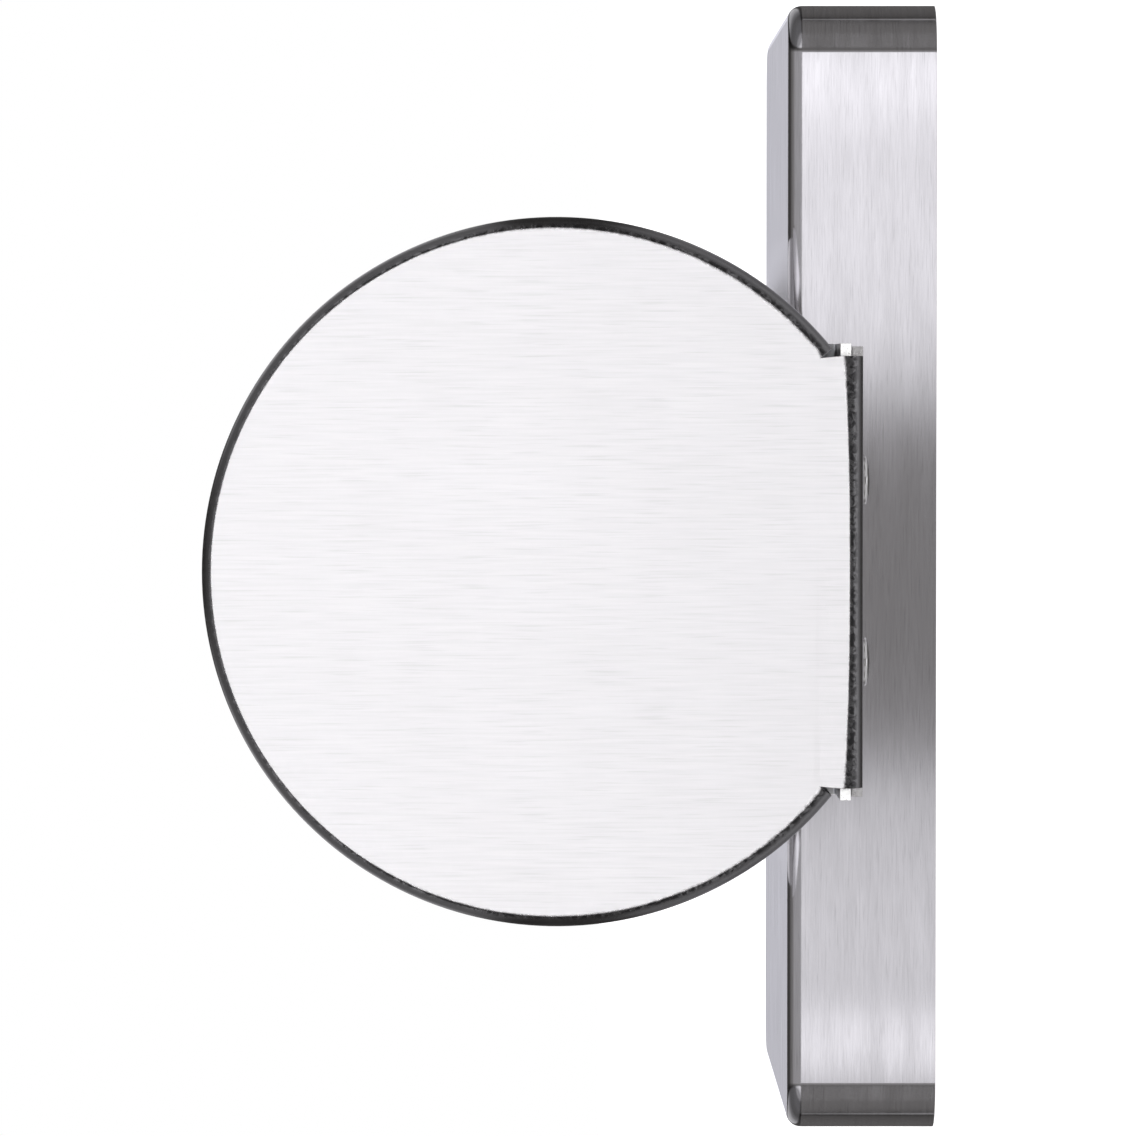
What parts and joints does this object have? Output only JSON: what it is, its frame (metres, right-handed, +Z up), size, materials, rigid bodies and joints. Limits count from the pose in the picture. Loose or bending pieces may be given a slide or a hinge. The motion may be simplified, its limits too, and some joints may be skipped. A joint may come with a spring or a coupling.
{
  "type": "floor door holder",
  "caption": "Floor-mounted electromagnetic door holder: shallow brushed steel base cover with a D-shaped drum across it that carries the holding magnet.",
  "frame": {"origin": "centre of the base plate's underside, on the floor", "axes": "+Z up from the floor, +Y the way the magnet faces (towards the open door), +X along the base's length"},
  "size_m": [0.1142, 0.0995, 0.0756],
  "materials": {
    "cover_steel": "grain along the base's length",
    "shell_steel": "grain along the drum",
    "cap_steel": "upright grain on the flat face",
    "screw_steel": "bright stainless",
    "zinc_steel": "bright zinc plated",
    "spring_steel": "oiled",
    "magnet_iron": "turned and nickel plated",
    "copper_wire": "enamelled",
    "brass": "turned",
    "black_rubber": "matt",
    "white_nylon": "moulded",
    "potting_resin": "cast",
    "red_plastic": "moulded",
    "black_plastic": "moulded",
    "green_plastic": "moulded",
    "blue_plastic": "dipped",
    "board_green": "solder mask",
    "black_insulation": "extruded",
    "red_insulation": "extruded",
    "blue_insulation": "extruded"
  },
  "bodies": {
    "housing": {"base_plate": "zinc_steel", "support_post_1": "zinc_steel", "support_post_2": "zinc_steel", "support_post_3": "zinc_steel", "support_post_4": "zinc_steel", "base_cover": "cover_steel", "cable_grommet": "black_rubber", "chassis": "zinc_steel", "chassis_bolt_1": "zinc_steel", "chassis_bolt_2": "zinc_steel", "chassis_bolt_3": "zinc_steel", "chassis_bolt_4": "zinc_steel", "drum_shell": "shell_steel", "rear_cap": "cap_steel", "front_cap": "cap_steel", "rear_cap_screw_left": "screw_steel", "rear_cap_screw_right": "screw_steel", "front_cap_screw_left": "screw_steel", "front_cap_screw_right": "screw_steel", "rear_cap_nut_left": "zinc_steel", "rear_cap_nut_right": "zinc_steel", "front_cap_nut_left": "zinc_steel", "front_cap_nut_right": "zinc_steel", "magnet_bracket": "zinc_steel", "bracket_bolt_left": "zinc_steel", "bracket_bolt_right": "zinc_steel", "bracket_nut_left": "zinc_steel", "bracket_nut_right": "zinc_steel", "magnet_pot": "magnet_iron", "magnet_core": "magnet_iron", "coil_bobbin": "white_nylon", "coil_winding": "copper_wire", "potting_ring": "potting_resin", "magnet_washer": "spring_steel", "magnet_bolt": "zinc_steel", "ejector_bush": "brass", "ejector_spring": "spring_steel", "button_bushing": "screw_steel", "bushing_nut": "brass", "button_spring": "spring_steel", "release_switch": "black_plastic", "circuit_board": "board_green", "board_spacer_1": "white_nylon", "board_spacer_2": "white_nylon", "board_spacer_3": "white_nylon", "board_spacer_4": "white_nylon", "terminal_block": "green_plastic", "terminal_screw_1": "zinc_steel", "terminal_screw_2": "zinc_steel", "terminal_screw_3": "zinc_steel", "terminal_screw_4": "zinc_steel", "surge_varistor": "blue_plastic", "smoothing_capacitor": "black_plastic", "coil_lead_left": "black_insulation", "coil_lead_right": "red_insulation", "switch_lead_left": "blue_insulation", "switch_lead_right": "blue_insulation"},
    "ejector": {"ejector_pin": "white_nylon"},
    "button": {"release_button": "red_plastic"}
  },
  "joints": [
    {"name": "ejector_slide", "type": "slide", "parent": "housing", "child": "ejector", "axis": [0, 1, 0], "range_m": [-0.0025, 0], "stiffness_N_per_m": 600, "springref_m": 0.004, "deforming": ["ejector_spring"]},
    {"name": "button_slide", "type": "slide", "parent": "housing", "child": "button", "axis": [0, 0, 1], "range_m": [-0.002, 0], "stiffness_N_per_m": 500, "springref_m": 0.003, "deforming": ["button_spring"]}
  ]
}
